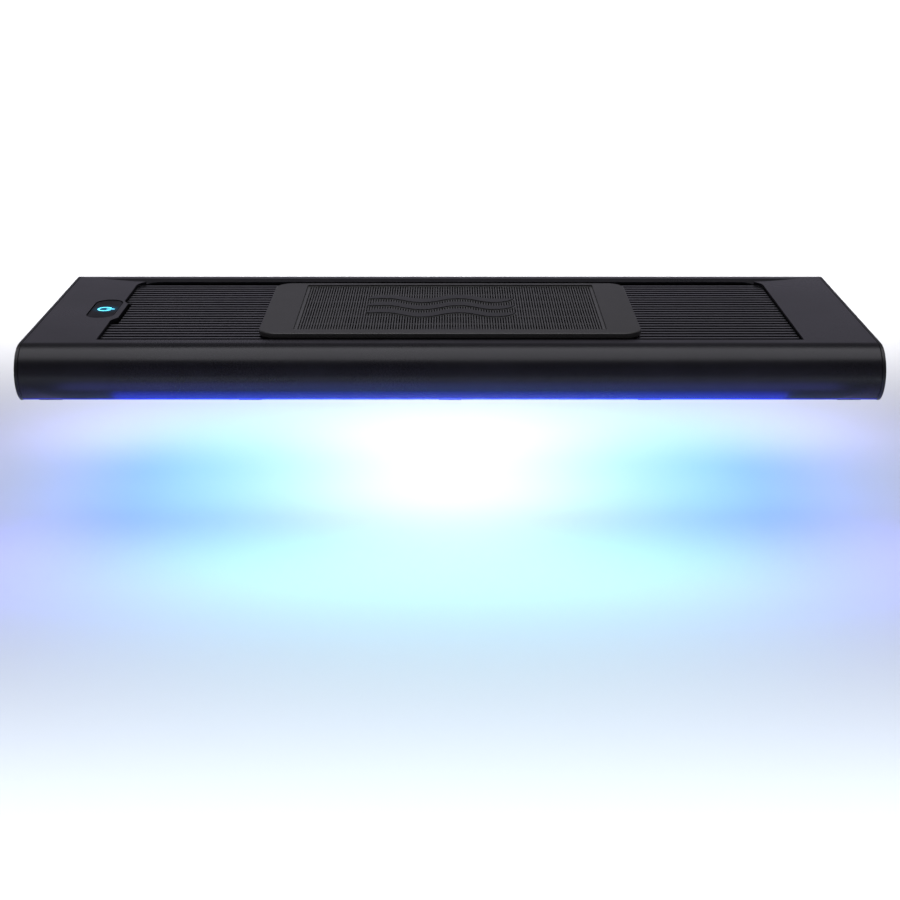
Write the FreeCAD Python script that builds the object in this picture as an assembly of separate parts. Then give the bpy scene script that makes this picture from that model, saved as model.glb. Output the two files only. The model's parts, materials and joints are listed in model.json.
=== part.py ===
"""LED aquarium light: a slim black fixture with rounded long edges, a finned heat sink that shows
through a window in its top, two slim fans under a raised lift-off cover, a lit push key at the left
end, and a diffuser that closes the underside and is held by small clips.

Frame: +X along the fixture, +Y to its rear, +Z up. The origin is the centre of the underside.
All sizes are in millimetres."""

import FreeCAD
import Part
import math
import os

# ---- overall ----
body_length = 500.0        # over both end caps
body_height = 32.2         # underside to the flat of the top
flat_depth = 156.0         # flat of the top, between the rounded long edges
base_cut = 2.2             # how much of the full round is cut away at the underside
shell_wall = 2.4
lip_height = 2.0           # lower edge of the shell above the underside
cap_thickness = 2.0
seal_thickness = 0.4
seal_inset = 0.6           # the end seals and the diffuser seal stand back by this, as a dark groove
seal_width = 1.4
slide_gap = 0.2            # clearance round a piece that is slid or dropped into another
edge_break = 0.4           # small chamfer on outer metal edges

# ---- window in the top, and the scooped slope along its rear edge ----
window_end_margin = 43.5   # from each end of the fixture to the window
window_front_margin = 6.1  # from the front end of the flat
window_rear_margin = 8.5   # from the rear end of the flat
window_front_corner = 0.8
window_rear_corner = 14.0
scoop_rear_margin = 3.5    # where the slope starts, from the rear end of the flat
scoop_depth = 1.6          # fall of the slope
scoop_run = 8.0            # over this distance
scoop_reach = 26.0         # how far the slope runs out past the window, along X

# ---- push key at the left end ----
key_from_end = 34.7
key_y = -2.3
key_width = 17.4           # opening in the shell, across X
key_length = 43.8          # opening in the shell, along Y
key_travel = 0.6
key_recess = 0.3           # key top below the shell's top
key_flange = 1.0           # the flange that keeps the key in, beyond its opening
key_ledge = 1.2            # shell left above the flange
bulge_reach = 3.4          # the shell bulges into the window beside the key
bulge_length = 45.4
bulge_y = -7.0
bulge_slant = 6.6
carrier_wall = 1.2
key_board_thickness = 1.2
plunger_radius = 2.0
dome_height = 1.6
switch_height = 2.0
switch_width = 6.2
sign_radius = 4.6          # standby sign: outside of its ring
sign_line = 1.2
sign_opening = 3.8
sign_depth = 0.9

# ---- underside ----
diffuser_lift = 0.4        # diffuser above the underside of the clips
diffuser_thickness = 2.4
diffuser_rim = 1.2         # thickness of the rim that shows below the shell
clip_width = 13.4
clip_end_margin = 18.0     # first and last clip, from the ends
clips_per_side = 5
clip_leg = 1.8
clip_leg_gap = 0.75        # from the leg to the inner edge of the shell's lip
clip_foot = 3.0            # how far the foot reaches in past the leg
clip_barb = 1.0            # how far the barb reaches out over the shell's lip
clip_step = 1.2            # depth of the step in the diffuser's rim that shows the clip from outside
led_height = 1.0
led_size = 3.5
led_pitch = 17.0
board_thickness = 1.6
pad_thickness = 0.3
led_boards = 3
led_board_gap = 2.0
board_side_gap = 6.0       # LED boards are this much narrower, each side, than the flat of the top
board_screw_inset = 4.0
frame_end_wall = 2.0       # reflector frame
frame_inner_wall = 1.6
frame_ledge = 0.5          # how far the frame overlaps the edge of the LED boards

# ---- heat sink ----
base_thickness = 3.2
base_side_gap = 6.0        # from the sink's side to the inside of the shell, level with the sink
rib_height = 1.8           # ribs in the shell, below and above the edge of the sink's base
rib_overlap = 1.4
interior_end_margin = 10.0 # boards and sink stop this far from the ends
fin_pitch = 5.6
fin_thickness = 2.2
fin_drop = 1.8             # fin tops below the top of the shell
fin_end_gap = 0.6          # fins clear the window by this at their ends
fin_front_gap = 3.6        # from the window's front edge to the first fin
fin_rear_gap = 6.6         # open channel behind the last fin, at least this wide
low_fin_height = 2.0       # what is left of the fins under the fans

# ---- fans ----
fan_size = 92.0
fan_height = 14.5
fan_hole_inset = 4.75      # screw holes, from the sides of a fan
fan_gap = 1.0              # between the two fans
fan_lift = 2.8             # fan above the sink's base
fan_headroom = 0.7         # fan below the fin tops
fan_y = -5.1
fan_wall = 2.1             # thinnest wall round the duct
head_depth = 2.0           # screw heads are sunk this far into the fan's corners
blade_clearance = 1.3
hub_radius = 19.0
shaft_radius = 1.5
running_clearance = 0.05
bush_radius = 2.7
tube_radius = 4.2          # of the tube that holds the bearing
blade_count = 7
fan_corner = 4.0           # rounding of the frame's corners
motor_plate = 2.2          # thickness of the motor seat and of its struts
strut_width = 2.4
strut_angles = (30, 120, 210, 300)
tube_top = 9.8             # heights above the fan's underside, from here to cup_low
bush_top = 9.6
stator_low = 3.2
stator_top = 8.4
magnet_low = 4.4
magnet_top = 11.0
cup_low = 4.0
cup_wall = 1.6             # rotor's cup
cup_roof = 1.8
cup_drop = 0.6             # cup below the top of the frame
cup_rounding = 1.2
ring_wall = 2.0            # rotor's magnet ring
coil_gap = 2.4             # between the four coils of the stator
blade_thickness = 1.3
screw_radius = 1.5         # M3
low_head_radius = 2.7
low_head_height = 1.5
cross_length = 3.4         # recess in a screw's head
cross_width = 0.7
cross_depth = 0.8

# ---- fan cover ----
cover_border_x = 20.3
cover_border_front = 8.6
cover_border_rear = 4.8
cover_corner = 11.0
cover_rise = 2.4           # cover's top above the shell's top
cover_gap = 0.1            # cover above the fin tops
cover_undercut = 1.2
cover_rounding = 0.7       # upper edges
grille_depth_extra = 14.2  # the grille opening is this much deeper than a fan
grille_recess = 0.9        # grille below the cover's top
grille_thickness = 1.5
grille_ledge = 3.0
slot_pitch = 1.61
slot_width = 0.8
slot_margin = 1.4          # slots stop this far from the edge of the grille
grille_bar = 1.6           # bars across the underside
grille_bar_depth = 1.0
grille_bars = 5
badge_margin = 1.0         # plain rim of the grille round the badge
badge_height = 0.5
badge_length = 92.0
badge_wave = 5.0           # height of a wave
badge_band = 9.0           # width of a band at its middle
badge_step = 17.0          # from band to band
badge_x = -6.0
badge_y = -2.0
magnet_radius = 3.0
magnet_height = 2.0
keeper_height = 1.0

# ---- electronics and power ----
circuit_width = 29.0
circuit_thickness = 1.6
circuit_lift = 3.6         # circuit boards above the sink's base
circuit_end_gap = 4.0      # screw holes, from the edges of a circuit board
post_radius = 2.6
circuit_length = 136.0
lead_diameter = 1.8
link_diameter = 2.4
connector_height = 4.5
connector_width = 7.0      # fan connectors, along Y
connector_depth = 6.0
radio_size = (16.0, 21.0, 2.2)
radio_y = -47.5
chip_height = 1.2
coil_size = 10.0
coil_height = 4.5
coil_places = (-46, -20, 24)  # along Y on the right board
capacitor_radius = 3.0
capacitor_height = 6.5
capacitor_places = (-46, -38, -20, 24, 32)
socket_radius = 5.2
socket_bore = 2.85
socket_depth = 9.5
socket_pin = 1.0
socket_y = 52.0
mount_spacing = 80.0       # between the two threaded inserts in each end cap
mount_height = 17.0
insert_radius = 3.0
thread_radius = 1.65       # tapping size of M4
insert_length = 6.0
boss_radius = 5.0
boss_length = 7.0
port_radius = 3.0
port_angles = (40.0, -40.0) # above and below the middle of the rounded edge
cap_screw_radius = 1.4
cap_screw_length = 10.0
cap_screw_head = 2.8

# ---- values that follow ----
half_length = body_length / 2
half_flat = flat_depth / 2
edge_radius = (body_height + base_cut) / 2
edge_centre = body_height - edge_radius
inner_radius = edge_radius - shell_wall
ceiling = body_height - shell_wall
cap_inner = half_length - cap_thickness
shell_end = cap_inner - seal_thickness
interior_end = half_length - interior_end_margin

window_x = half_length - window_end_margin
window_front = -half_flat + window_front_margin
window_rear = half_flat - window_rear_margin
scoop_rear = half_flat - scoop_rear_margin
key_x = -half_length + key_from_end
carrier_growth = 2 * (key_flange + slide_gap + carrier_wall)  # carrier larger than the key's opening

diffuser_top = diffuser_lift + diffuser_thickness
fin_top = body_height - fin_drop
fan_top = fin_top - fan_headroom
fan_bottom = fan_top - fan_height
base_top = fan_bottom - fan_lift
base_bottom = base_top - base_thickness
board_top = base_bottom - pad_thickness
board_bottom = board_top - board_thickness
fan_x = (fan_size + fan_gap) / 2

grille_x = fan_size + fan_gap / 2 + 0.2
grille_front = fan_y - (fan_size + grille_depth_extra) / 2
grille_rear = fan_y + (fan_size + grille_depth_extra) / 2
cover_x = grille_x + cover_border_x
cover_front = grille_front - cover_border_front
cover_rear = grille_rear + cover_border_rear
cover_bottom = fin_top + cover_gap
keeper_top = fin_top - 0.1
keeper_bottom = keeper_top - keeper_height
cover_top = body_height + cover_rise
grille_top = cover_top - grille_recess
grille_bottom = grille_top - grille_thickness

circuit_bottom = base_top + circuit_lift
circuit_top = circuit_bottom + circuit_thickness
circuit_x = interior_end - circuit_width / 2 - 1.0
key_flange_top = body_height - key_ledge - 0.1
key_flange_bottom = key_flange_top - 1.0
plunger_bottom = key_flange_bottom - 1.3
switch_top = plunger_bottom - dome_height
key_board_top = switch_top - switch_height


def vec(x, y, z):
    return FreeCAD.Vector(x, y, z)


# ---- shape helpers ----
def box(x0, x1, y0, y1, z0, z1):
    return Part.makeBox(x1 - x0, y1 - y0, z1 - z0, vec(x0, y0, z0))


def rod(radius, x, y, z0, z1):
    return Part.makeCylinder(radius, z1 - z0, vec(x, y, z0))


def rod_x(radius, x0, x1, y, z):
    return Part.makeCylinder(radius, x1 - x0, vec(x0, y, z), vec(1, 0, 0))


def rods(radius, places, z0, z1):
    """Upright rods at (x, y) places."""
    return [rod(radius, x, y, z0, z1) for x, y in places]


def rods_x(radius, x0, x1, places):
    """Rods along X at (y, z) places."""
    return [rod_x(radius, x0, x1, y, z) for y, z in places]


def cut_away(shape, tools):
    return shape.cut(Part.makeCompound(tools))


def mirrored(shape):
    """The same shape at the other end of the fixture."""
    return shape.mirror(vec(0, 0, 0), vec(1, 0, 0))


def upright_edges(shape):
    return [e for e in shape.Edges if abs(e.tangentAt(e.FirstParameter).z) > 0.99]


def fused(shapes):
    return shapes[0].multiFuse(shapes[1:]).removeSplitter() if len(shapes) > 1 else shapes[0]


def group(shapes):
    """Separate solids that share one node."""
    return Part.makeCompound(shapes)


def rounded_plate(x0, x1, y0, y1, radius, z0, z1):
    plate = box(x0, x1, y0, y1, z0, z1)
    return plate.makeFillet(radius, upright_edges(plate))


def pill(x, y, width, length, z0, z1):
    """A plate with round ends, its long way along Y."""
    radius = width / 2
    straight = length / 2 - radius
    middle = box(x - radius, x + radius, y - straight, y + straight, z0, z1)
    ends = [rod(radius, x, y + side * straight, z0, z1) for side in (-1, 1)]
    return fused([middle] + ends)


def side_reach(inset, z):
    """Half the depth, along Y, of the round-edged section that is inset from the outside, at height z."""
    radius = edge_radius - inset
    return half_flat + math.sqrt(radius**2 - (edge_centre - z) ** 2)


def section(inset, bottom, drop=0.0):
    """Face of the round-edged cross-section, inset from the outside and cut off flat at bottom.
    drop adds straight sides below it, for a cutting tool."""
    radius = edge_radius - inset
    top = edge_centre + radius
    reach = side_reach(inset, bottom)
    widest = half_flat + radius
    front = Part.Arc(vec(0, -reach, bottom), vec(0, -widest, edge_centre), vec(0, -half_flat, top))
    rear = Part.Arc(vec(0, half_flat, top), vec(0, widest, edge_centre), vec(0, reach, bottom))
    low = bottom - drop
    corners = [vec(0, reach, bottom), vec(0, reach, low), vec(0, -reach, low), vec(0, -reach, bottom)]
    if drop == 0:
        corners = [corners[0], corners[3]]
    sides = [Part.makeLine(a, b) for a, b in zip(corners, corners[1:])]
    top_line = Part.makeLine(vec(0, -half_flat, top), vec(0, half_flat, top))
    return Part.Face(Part.Wire([front.toShape(), top_line, rear.toShape()] + sides))


def along_x(face, x0, x1):
    solid = face.extrude(vec(x1 - x0, 0, 0))
    solid.translate(vec(x0, 0, 0))
    return solid


def outline(points, z0, z1):
    """Prism over a closed outline of (x, y) corners."""
    corners = [vec(x, y, z0) for x, y in points]
    face = Part.Face(Part.makePolygon(corners + corners[:1]))
    return face.extrude(vec(0, 0, z1 - z0))


def side_outline(points, x0, x1):
    """Prism along X over a closed outline of (y, z) corners."""
    corners = [vec(x0, y, z) for y, z in points]
    face = Part.Face(Part.makePolygon(corners + corners[:1]))
    return face.extrude(vec(x1 - x0, 0, 0))


def lead(points, diameter):
    """Round lead along straight runs joined by tangent arcs, as large as the shorter run allows."""
    points = [vec(*p) for p in points]
    edges = []
    start = points[0]
    for before, corner, after in zip(points, points[1:], points[2:]):
        into = (corner - before).normalize()
        out = (after - corner).normalize()
        setback = 0.45 * min(before.distanceToPoint(corner), corner.distanceToPoint(after))
        half_turn = into.getAngle(out) / 2
        radius = setback / math.tan(half_turn)
        arc_start = corner - into * setback
        arc_end = corner + out * setback
        inward = (out - into).normalize()
        centre = corner + inward * (radius / math.cos(half_turn))
        middle = centre - inward * radius
        edges.append(Part.makeLine(start, arc_start))
        edges.append(Part.Arc(arc_start, middle, arc_end).toShape())
        start = arc_end
    edges.append(Part.makeLine(start, points[-1]))
    path = Part.Wire(edges)
    ring = Part.Wire(Part.makeCircle(diameter / 2, points[0], points[1] - points[0]))
    return path.makePipeShell([ring], True, False)


# ---- housing ----
def port_places():
    """Centres (y, z) of the long screw ports inside the rounded edges."""
    reach = inner_radius - 1.4
    places = []
    for side in (-1, 1):
        for angle in port_angles:
            turn = math.radians(angle)
            places.append((side * (half_flat + reach * math.cos(turn)), edge_centre + reach * math.sin(turn)))
    return places


def window_cut():
    """The window: small corners at the front, wide ones at the rear."""
    low, high = ceiling - 1, body_height + 1
    front = box(-window_x, window_x, window_front, window_front + 60, low, high)
    corners = [e for e in upright_edges(front) if e.CenterOfMass.y < window_front + 1]
    front = front.makeFillet(window_front_corner, corners)
    rear = rounded_plate(-window_x, window_x, window_front + 15, window_rear, window_rear_corner, low, high)
    return fused([front, rear])


def scoop_cut():
    """The slope behind the fins. It falls to the front and runs out past the window's corners."""
    front = scoop_rear - scoop_run
    half = window_x + scoop_reach
    edges = []
    for side in (-1, 1):
        sweep = Part.BSplineCurve()
        sweep.interpolate([
            vec(side * half, scoop_rear, ceiling),
            vec(side * (window_x + 0.45 * scoop_reach), scoop_rear - 0.62 * scoop_run, ceiling),
            vec(side * (window_x + 0.08 * scoop_reach), front + 0.06 * scoop_run, ceiling),
            vec(side * (window_x - window_rear_corner), front, ceiling),
        ])
        edges.append(sweep.toShape())
    edges.append(Part.makeLine(vec(-half, scoop_rear, ceiling), vec(half, scoop_rear, ceiling)))
    inner = window_x - window_rear_corner
    edges.append(Part.makeLine(vec(-inner, front, ceiling), vec(inner, front, ceiling)))
    plan = Part.Face(Part.Wire(Part.__sortEdges__(edges))).extrude(vec(0, 0, shell_wall + 1))
    slope = [(scoop_rear, body_height), (front - 1, body_height - scoop_depth * (scoop_run + 1) / scoop_run),
             (front - 1, body_height + 1), (scoop_rear, body_height + 1)]
    return plan.common(side_outline(slope, -half, half))


def bulge():
    """The part of the top that stands into the window beside the key."""
    root = -window_x - 1
    edge = -window_x
    tip = -window_x + bulge_reach
    low = bulge_y - bulge_length / 2
    high = bulge_y + bulge_length / 2
    near = [(root, low), (edge, low), (tip, low + bulge_slant)]
    far = [(tip, high - bulge_slant), (edge, high), (root, high)]
    return outline(near + far, ceiling, body_height)


def sink_side():
    """Half the depth of the sink's base."""
    return side_reach(shell_wall, base_bottom) - base_side_gap


def shelf_ribs():
    """Long ribs inside both edges. The sink's base slides in between them."""
    inner = sink_side() - rib_overlap
    ribs = []
    for side in (-1, 1):
        for z0 in (base_bottom - rib_height, base_top + slide_gap):
            z1 = z0 + rib_height
            outer = side_reach(shell_wall / 2, z0)
            y0, y1 = sorted((side * inner, side * outer))
            ribs.append(box(-shell_end, shell_end, y0, y1, z0, z1))
    return ribs


def housing_shell():
    shell = along_x(section(0, lip_height), -shell_end, shell_end)
    shell = shell.cut(along_x(section(shell_wall, lip_height, drop=1), -shell_end - 1, shell_end + 1))
    shell = shell.cut(window_cut())
    ports = rods_x(port_radius, -shell_end, shell_end, port_places())
    shell = fused([shell, bulge()] + shelf_ribs() + ports)
    holes = rods_x(cap_screw_radius, -shell_end - 1, shell_end + 1, port_places())
    opening = pill(key_x, key_y, key_width, key_length, ceiling - 1, body_height + 1)
    wide = 2 * (key_flange + slide_gap)
    step = pill(key_x, key_y, key_width + wide, key_length + wide, ceiling - 1, body_height - key_ledge)
    return cut_away(shell, holes + [opening, step]).cut(scoop_cut())


def mount_places():
    return [(side * mount_spacing / 2, mount_height) for side in (-1, 1)]


def countersink(y, z):
    """Head of a cap screw, with its wide end flush with the outside of the right end cap."""
    depth = cap_screw_head - cap_screw_radius
    place = vec(half_length - depth, y, z)
    return Part.makeCone(cap_screw_radius, cap_screw_head, depth, place, vec(1, 0, 0))


def end_cap(side):
    """Flat cap with four countersunk holes and two bosses for the mounting inserts."""
    cap = along_x(section(0, 0), cap_inner, half_length)
    rim = [e for e in cap.Edges if all(abs(v.X - half_length) < 1e-6 for v in e.Vertexes)]
    cap = cap.makeChamfer(edge_break, rim)
    cap = fused([cap] + rods_x(boss_radius, cap_inner - boss_length, cap_inner, mount_places()))
    outside = half_length + 1
    cuts = rods_x(cap_screw_radius + slide_gap, cap_inner - 1, outside, port_places())
    cuts += [countersink(y, z) for y, z in port_places()]
    cuts += rods_x(insert_radius, half_length - insert_length, outside, mount_places())
    cuts += rods_x(thread_radius, cap_inner - boss_length - 1, half_length, mount_places())
    if side > 0:
        cuts.append(rod_x(socket_radius + slide_gap, cap_inner - 1, outside, socket_y, socket_height()))
    cap = cut_away(cap, cuts)
    return cap if side > 0 else mirrored(cap)


def end_seal(side):
    """Thin gasket between the shell and an end cap."""
    outer = along_x(section(seal_inset, lip_height), shell_end, cap_inner)
    inner = along_x(section(seal_inset + seal_width, lip_height, drop=1), shell_end - 1, cap_inner + 1)
    seal = cut_away(outer, [inner] + rods_x(port_radius, shell_end - 1, cap_inner + 1, port_places()))
    return seal if side > 0 else mirrored(seal)


def cap_screws():
    """Countersunk screws that hold the end caps to the ports in the shell, four at each end."""
    screws = []
    for y, z in port_places():
        shank = rod_x(cap_screw_radius, half_length - cap_screw_length, half_length - 0.5, y, z)
        socket = rod_x(0.9, half_length - 1.1, half_length + 1, y, z)
        screws.append(fused([countersink(y, z), shank]).cut(socket))
    return group(screws + [mirrored(screw) for screw in screws])


def mount_inserts(side):
    """Two threaded inserts, flush with the outside of an end cap."""
    inner_end = half_length - insert_length
    threads = rods_x(thread_radius, inner_end - 1, half_length + 1, mount_places())
    tubes = rods_x(insert_radius, inner_end, half_length, mount_places())
    inserts = group([cut_away(tube, threads) for tube in tubes])
    return inserts if side > 0 else mirrored(inserts)


# ---- underside ----
def clip_places():
    last = half_length - clip_end_margin
    step = 2 * last / (clips_per_side - 1)
    return [-last + i * step for i in range(clips_per_side)]


def clip_leg_reach():
    """How far out, along Y, the outer face of a clip's leg stands."""
    return side_reach(shell_wall, lip_height) - clip_leg_gap


def diffuser_panel():
    """Frosted sheet with a thin rim that shows all along below the shell."""
    rim_top = diffuser_lift + diffuser_rim
    end = cap_inner - slide_gap
    sheet_side = side_reach(shell_wall, lip_height) - 0.5
    rim = along_x(section(0, diffuser_lift), -end, end)
    beyond = half_flat + 2 * edge_radius
    rim = rim.common(box(-end, end, -beyond, beyond, diffuser_lift, rim_top))
    sheet = box(-end, end, -sheet_side, sheet_side, diffuser_lift, diffuser_top)
    panel = fused([rim, sheet])
    cuts = []
    reach = clip_leg_reach()
    for x in clip_places():
        for side in (-1, 1):
            y0, y1 = sorted((side * (reach - clip_leg - slide_gap), side * (reach + slide_gap)))
            half = clip_width / 2 + slide_gap
            cuts.append(box(x - half, x + half, y0, y1, diffuser_lift - 1, diffuser_top + 1))
            y0, y1 = sorted((side * (side_reach(0, diffuser_lift) - clip_step), side * beyond))
            cuts.append(box(x - half, x + half, y0, y1, diffuser_lift - 1, 2 * diffuser_lift))
    return cut_away(panel, cuts)


def diffuser_seal():
    """Seal between the shell's lower lip and the diffuser's rim, along both long edges."""
    rim_top = diffuser_lift + diffuser_rim
    strips = []
    for side in (-1, 1):
        inner = side_reach(shell_wall, lip_height) + slide_gap
        outer = side_reach(0, rim_top) - seal_inset
        y0, y1 = sorted((side * inner, side * outer))
        strips.append(box(-shell_end, shell_end, y0, y1, rim_top, lip_height))
    return group(strips)


def diffuser_clips():
    """Snap clips: a foot under the diffuser, a leg through a slot, a barb over the shell's lip."""
    reach = clip_leg_reach()
    inner = reach - clip_leg
    lip = side_reach(shell_wall, lip_height)
    foot_edge = side_reach(0, 0)
    tall = 2 * diffuser_lift - 0.05
    nose = side_reach(0, tall)
    step = side_reach(0, diffuser_lift) - clip_step + slide_gap
    barb = lip + clip_barb
    foot = [(inner - clip_foot, 0), (foot_edge, 0), (nose, tall), (step, tall), (step, diffuser_lift)]
    hook = [(reach, diffuser_lift), (reach, lip_height + 0.9), (barb, lip_height + 1.3)]
    back = [(reach, lip_height + 2.8), (inner, lip_height + 2.8), (inner, diffuser_lift)]
    profile = foot + hook + back + [(inner - clip_foot, diffuser_lift)]
    clips = []
    for x in clip_places():
        for side in (-1, 1):
            turned = [(side * y, z) for y, z in profile]
            clips.append(side_outline(turned, x - clip_width / 2, x + clip_width / 2))
    return group(clips)


def led_field():
    """(length, half depth) of one LED board."""
    length = (2 * interior_end - (led_boards - 1) * led_board_gap) / led_boards
    return length, half_flat - board_side_gap


def board_ends():
    length, _ = led_field()
    starts = [-interior_end + i * (length + led_board_gap) for i in range(led_boards)]
    return [(start, start + length) for start in starts]


def led_places():
    """LED centres with their row and column, the same pattern on each board."""
    length, half_depth = led_field()
    columns = int((length - 10) // led_pitch)
    rows = int((2 * half_depth - 10) // led_pitch)
    places = []
    for x0, x1 in board_ends():
        middle = (x0 + x1) / 2
        for column in range(columns):
            for row in range(rows):
                x = middle + (column - (columns - 1) / 2) * led_pitch
                y = (row - (rows - 1) / 2) * led_pitch
                places.append((x, y, column, row))
    return places


def board_screw_places():
    """Four screws a board, halfway between LEDs and clear of the mounting edge."""
    _, half_depth = led_field()
    y = half_depth - board_screw_inset
    columns = [x for x0, x1 in board_ends() for x in (x0 + board_screw_inset, x1 - board_screw_inset)]
    return [(x, side * y) for x in columns for side in (-1, 1)]


def board_layer(z0, z1):
    """One plate for each LED board, with its screw holes."""
    _, half_depth = led_field()
    holes = rods(screw_radius + slide_gap, board_screw_places(), z0 - 1, z1 + 1)
    return group([cut_away(box(x0, x1, -half_depth, half_depth, z0, z1), holes) for x0, x1 in board_ends()])


def board_screws():
    """Low-head screws from below, through the LED boards and into the sink's base."""
    screws = []
    for x, y in board_screw_places():
        head = rod(low_head_radius, x, y, board_bottom - low_head_height, board_bottom)
        shank = rod(screw_radius, x, y, board_bottom, base_top - 0.6)
        screws.append(fused([head, shank]))
    return group(screws)


def led_colour(column, row):
    """Which colour stands at a place in the repeating pattern."""
    return ("blue", "white", "violet", "blue", "white", "red")[(column + 2 * row) % 6]


def leds(colour):
    chips = []
    for x, y, column, row in led_places():
        if led_colour(column, row) == colour:
            half = led_size / 2
            chips.append(box(x - half, x + half, y - half, y + half, board_bottom - led_height, board_bottom))
    return group(chips)


def reflector_frame():
    """White frame round the LEDs, with a wall between boards, from the diffuser to the boards."""
    low, high = diffuser_top + 0.1, board_bottom
    outer_y = clip_leg_reach() - clip_leg - 1.0
    _, half_depth = led_field()
    inner_y = half_depth - frame_ledge
    inner_x = interior_end - frame_end_wall
    frame = box(-interior_end, interior_end, -outer_y, outer_y, low, high)
    hollow = box(-inner_x, inner_x, -inner_y, inner_y, low - 1, high + 1)
    walls = []
    for x0, x1 in board_ends()[:-1]:
        x = x1 + led_board_gap / 2
        half = frame_inner_wall / 2
        walls.append(box(x - half, x + half, -half_depth, half_depth, low, high))
    frame = fused([frame.cut(hollow)] + walls)
    return cut_away(frame, rods(low_head_radius + slide_gap, board_screw_places(), low - 1, high + 1))


# ---- heat sink ----
def fin_places():
    first = window_front + fin_front_gap + fin_thickness / 2
    last = window_rear - fin_rear_gap - fin_thickness / 2
    count = int((last - first) // fin_pitch) + 1
    return [first + i * fin_pitch for i in range(count)]


def pocket():
    """(x0, x1, y0, y1) of the space that the two fans take in the fins."""
    half = fan_x + fan_size / 2 + 1.5
    return -half, half, fan_y - fan_size / 2 - 1.0, fan_y + fan_size / 2 + 1.0


def fan_hole_places():
    half = fan_size / 2 - fan_hole_inset
    corners = [(dx, dy) for dx in (-half, half) for dy in (-half, half)]
    return [(side * fan_x + dx, fan_y + dy) for side in (-1, 1) for dx, dy in corners]


def cover_magnet_places():
    """Magnets in the wide ends of the cover."""
    x = cover_x - cover_border_x / 2
    y = fan_size / 2 - 10
    return [(sx * x, fan_y + sy * y) for sx in (-1, 1) for sy in (-1, 1)]


def heat_sink():
    """Base plate with long fins, a pocket for the fans, pillars for their screws and posts for the cover."""
    fin_end = window_x - fin_end_gap
    half = fin_thickness / 2
    buried = base_top - 0.2
    sink = fused([box(-interior_end, interior_end, -sink_side(), sink_side(), base_bottom, base_top)]
                 + [box(-fin_end, fin_end, y - half, y + half, buried, fin_top) for y in fin_places()])
    x0, x1, y0, y1 = pocket()
    fans_room = box(x0, x1, y0, y1, base_top + low_fin_height, fin_top + 1)
    bulge_room = box(-fin_end - 1, -window_x + bulge_reach + 1.5, bulge_y - bulge_length / 2 - 1,
                     bulge_y + bulge_length / 2 + 1, base_top, fin_top + 1)
    growth = carrier_growth + 2 * slide_gap
    key_room = pill(key_x, key_y, key_width + growth, key_length + growth, base_top, fin_top + 1)
    keeper_room = rods(magnet_radius + 1.6, cover_magnet_places(), keeper_bottom, fin_top + 1)
    rooms = [fans_room, bulge_room, key_room] + keeper_room
    sink = cut_away(sink, rooms).cut(rear_corner_cuts(fin_end))
    pillars = rods(screw_radius + 2.2, fan_hole_places(), buried, fan_bottom)
    posts = rods(magnet_radius + 1.5, cover_magnet_places(), buried, keeper_bottom)
    sink = fused([sink] + pillars + posts)
    return cut_away(sink, rods(screw_radius, fan_hole_places(), base_top - 2.4, fan_bottom + 1)
                    + rods(screw_radius, board_screw_places(), base_bottom - 1, base_top - 0.6))


def rear_corner_cuts(fin_end):
    """Fin ends taken back so that they clear the window's wide rear corners."""
    kept = window_cut()
    kept.translate(vec(0, -fin_end_gap, -1))
    rear = window_rear - window_rear_corner
    return box(-fin_end - 1, fin_end + 1, rear, window_rear + 2, ceiling - 1, fin_top + 1).cut(kept)


# ---- fans ----
def fan_frame(x):
    """Square frame with a round duct, four struts and a motor seat at the lower side."""
    half = fan_size / 2
    duct = half - fan_wall
    seat = hub_radius - 1.0
    plate_top = fan_bottom + motor_plate
    frame = rounded_plate(x - half, x + half, fan_y - half, fan_y + half, fan_corner, fan_bottom, fan_top)
    frame = frame.cut(rod(duct, x, fan_y, fan_bottom - 1, fan_top + 1))
    struts = []
    for angle in strut_angles:
        bar = box(seat - 3, duct + 0.6, -strut_width / 2, strut_width / 2, fan_bottom, plate_top)
        bar.rotate(vec(0, 0, 0), vec(0, 0, 1), angle)
        bar.translate(vec(x, fan_y, 0))
        struts.append(bar)
    motor_seat = rod(seat, x, fan_y, fan_bottom, plate_top)
    tube = rod(tube_radius, x, fan_y, fan_bottom, fan_bottom + tube_top)
    frame = fused([frame, motor_seat, tube] + struts)
    cuts = [rod(bush_radius, x, fan_y, plate_top - 1, fan_bottom + tube_top + 1)]
    for hx, hy in fan_hole_places():
        if abs(hx - x) < half:
            cuts.append(rod(screw_radius + slide_gap, hx, hy, fan_bottom - 1, fan_top + 1))
            cuts.append(rod(low_head_radius + slide_gap, hx, hy, fan_top - head_depth, fan_top + 1))
    return cut_away(frame, cuts)


def fan_bush(x):
    """Sleeve bearing in the motor seat."""
    low, high = fan_bottom + motor_plate, fan_bottom + bush_top
    bore = rod(shaft_radius + running_clearance, x, fan_y, low - 1, high + 1)
    return rod(bush_radius, x, fan_y, low, high).cut(bore)


def fan_stator(x):
    """Wound ring round the bearing tube, parted into four coils by gaps in its outside."""
    low, high = fan_bottom + stator_low, fan_bottom + stator_top
    ring = rod(hub_radius - 5.0, x, fan_y, low, high).cut(rod(tube_radius, x, fan_y, low - 1, high + 1))
    gaps = []
    for angle in (45, 135, 225, 315):
        gap = box(1.5 * tube_radius, hub_radius, -coil_gap / 2, coil_gap / 2, low - 1, high + 1)
        gap.rotate(vec(0, 0, 0), vec(0, 0, 1), angle)
        gap.translate(vec(x, fan_y, 0))
        gaps.append(gap)
    return cut_away(ring, gaps)


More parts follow.
